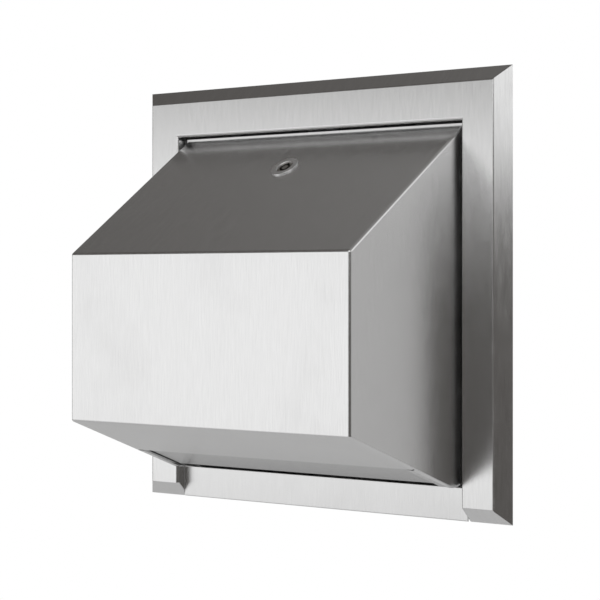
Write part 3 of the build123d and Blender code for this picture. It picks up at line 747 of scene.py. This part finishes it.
def floor_material(colour, glow, paleness):
    """Pale floor: it takes the part's shadow near the part, and turns to the white of the backdrop
    with the distance from it. The glow is the share of that white that the metal mirrors, and the
    paleness is the share of it that the camera sees under the part."""
    material, tree, shader = new_material("pale_floor")
    shader.inputs["Base Color"].default_value = (*colour, 1.0)
    shader.inputs["Roughness"].default_value = 0.75
    place = add_node(tree, "ShaderNodeTexCoord", (-900, 300))
    reach = add_node(tree, "ShaderNodeVectorMath", (-700, 300), operation="LENGTH")
    tree.links.new(place.outputs["Object"], reach.inputs[0])
    fade = add_node(tree, "ShaderNodeMapRange", (-500, 300), interpolation_type="SMOOTHSTEP")
    fade.inputs["From Min"].default_value = FLOOR_FADE[0]
    fade.inputs["From Max"].default_value = FLOOR_FADE[1]
    fade.inputs["To Min"].default_value = paleness
    tree.links.new(reach.outputs["Value"], fade.inputs["Value"])
    white = add_node(tree, "ShaderNodeEmission", (-300, 500))
    white.inputs["Color"].default_value = (*WHITE, 1.0)
    rays = add_node(tree, "ShaderNodeLightPath", (-500, 600))
    seen = maths(tree, "MULTIPLY", (-300, 650), rays.outputs["Is Camera Ray"], fade.outputs["Result"])
    mirrored = maths(tree, "MULTIPLY", (-300, 800), rays.outputs["Is Glossy Ray"], glow)
    share = maths(tree, "MAXIMUM", (-100, 500), seen, mirrored)
    mixed = add_node(tree, "ShaderNodeMixShader", (100, 300))
    tree.links.new(share, mixed.inputs["Fac"])
    tree.links.new(shader.outputs[0], mixed.inputs[1])
    tree.links.new(white.outputs[0], mixed.inputs[2])
    tree.links.new(mixed.outputs[0], tree.nodes["Material Output"].inputs["Surface"])
    return material


def soft_lamp(name, place, target, size, power):
    """A square soft lamp that looks at the target, and is left out of mirrored rays."""
    data = bpy.data.lights.new(name, "AREA")
    data.shape = "SQUARE"
    data.size = size
    data.energy = power
    lamp = bpy.data.objects.new(name, data)
    bpy.context.scene.collection.objects.link(lamp)
    lamp.location = place
    lamp.visible_glossy = False
    lamp.rotation_euler = (target - Vector(place)).to_track_quat("-Z", "Y").to_euler()


class DISPENSER_OT_stage(bpy.types.Operator):
    """Set the floor, the studio light and the camera"""

    bl_idname = "dispenser.stage"
    bl_label = "Set the stage"

    def execute(self, context):
        scene = context.scene
        stage = scene.dispenser_stage
        floor = surface_piece("floor", disc_points(FLOOR_EDGE), capped=False)
        floor.location = FRAME_MIDDLE - Vector((0.0, 0.0, stage.floor_drop))
        pale = floor_material(stage.floor_colour, stage.floor_glow, stage.floor_paleness)
        floor.data.materials.append(pale)
        studio_world()
        soft_lamp("key_panel", KEY_PLACE, FRAME_MIDDLE, KEY_SIZE, KEY_POWER)
        data = bpy.data.cameras.new("camera")
        data.lens = stage.lens
        data.sensor_width = 36.0
        data.shift_y = stage.rise
        data.clip_end = 100.0
        camera = bpy.data.objects.new("camera", data)
        scene.collection.objects.link(camera)
        camera.location = Vector(stage.camera_place) + FRAME_MIDDLE
        camera.rotation_euler = (math.pi / 2, 0.0, stage.camera_turn)
        scene.camera = camera
        scene.view_settings.view_transform = "Standard"
        return {"FINISHED"}


class DISPENSER_PT_panel(bpy.types.Panel):
    """Buttons for each part of the work, and the sizes and colours behind them"""

    bl_label = "Towel dispenser"
    bl_space_type = "VIEW_3D"
    bl_region_type = "UI"
    bl_category = "Dispenser"

    def draw(self, context):
        layout = self.layout
        for operator in OPERATORS:
            layout.operator(operator.bl_idname)
        for settings in (
            context.scene.dispenser_sheet, context.scene.dispenser_threads, context.scene.dispenser_stage
        ):
            box = layout.box()
            for key in settings.__annotations__:
                box.prop(settings, key)


OPERATORS = (
    DISPENSER_OT_cabinet, DISPENSER_OT_hood, DISPENSER_OT_lock, DISPENSER_OT_inside, DISPENSER_OT_stage
)
SETTINGS = {
    "dispenser_sheet": SheetSettings, "dispenser_threads": ThreadSettings, "dispenser_stage": StageSettings
}


def register():
    for name, group in SETTINGS.items():
        bpy.utils.register_class(group)
        setattr(bpy.types.Scene, name, bpy.props.PointerProperty(type=group))
    for item in (*OPERATORS, DISPENSER_PT_panel):
        bpy.utils.register_class(item)


def unregister():
    for item in (*OPERATORS, DISPENSER_PT_panel):
        bpy.utils.unregister_class(item)
    for name, group in SETTINGS.items():
        delattr(bpy.types.Scene, name)
        bpy.utils.unregister_class(group)


def main():
    register()
    bpy.ops.dispenser.cabinet()
    bpy.ops.dispenser.hood()
    bpy.ops.dispenser.lock()
    bpy.ops.dispenser.inside()
    bpy.ops.dispenser.stage()


if __name__ == "__main__":
    main()
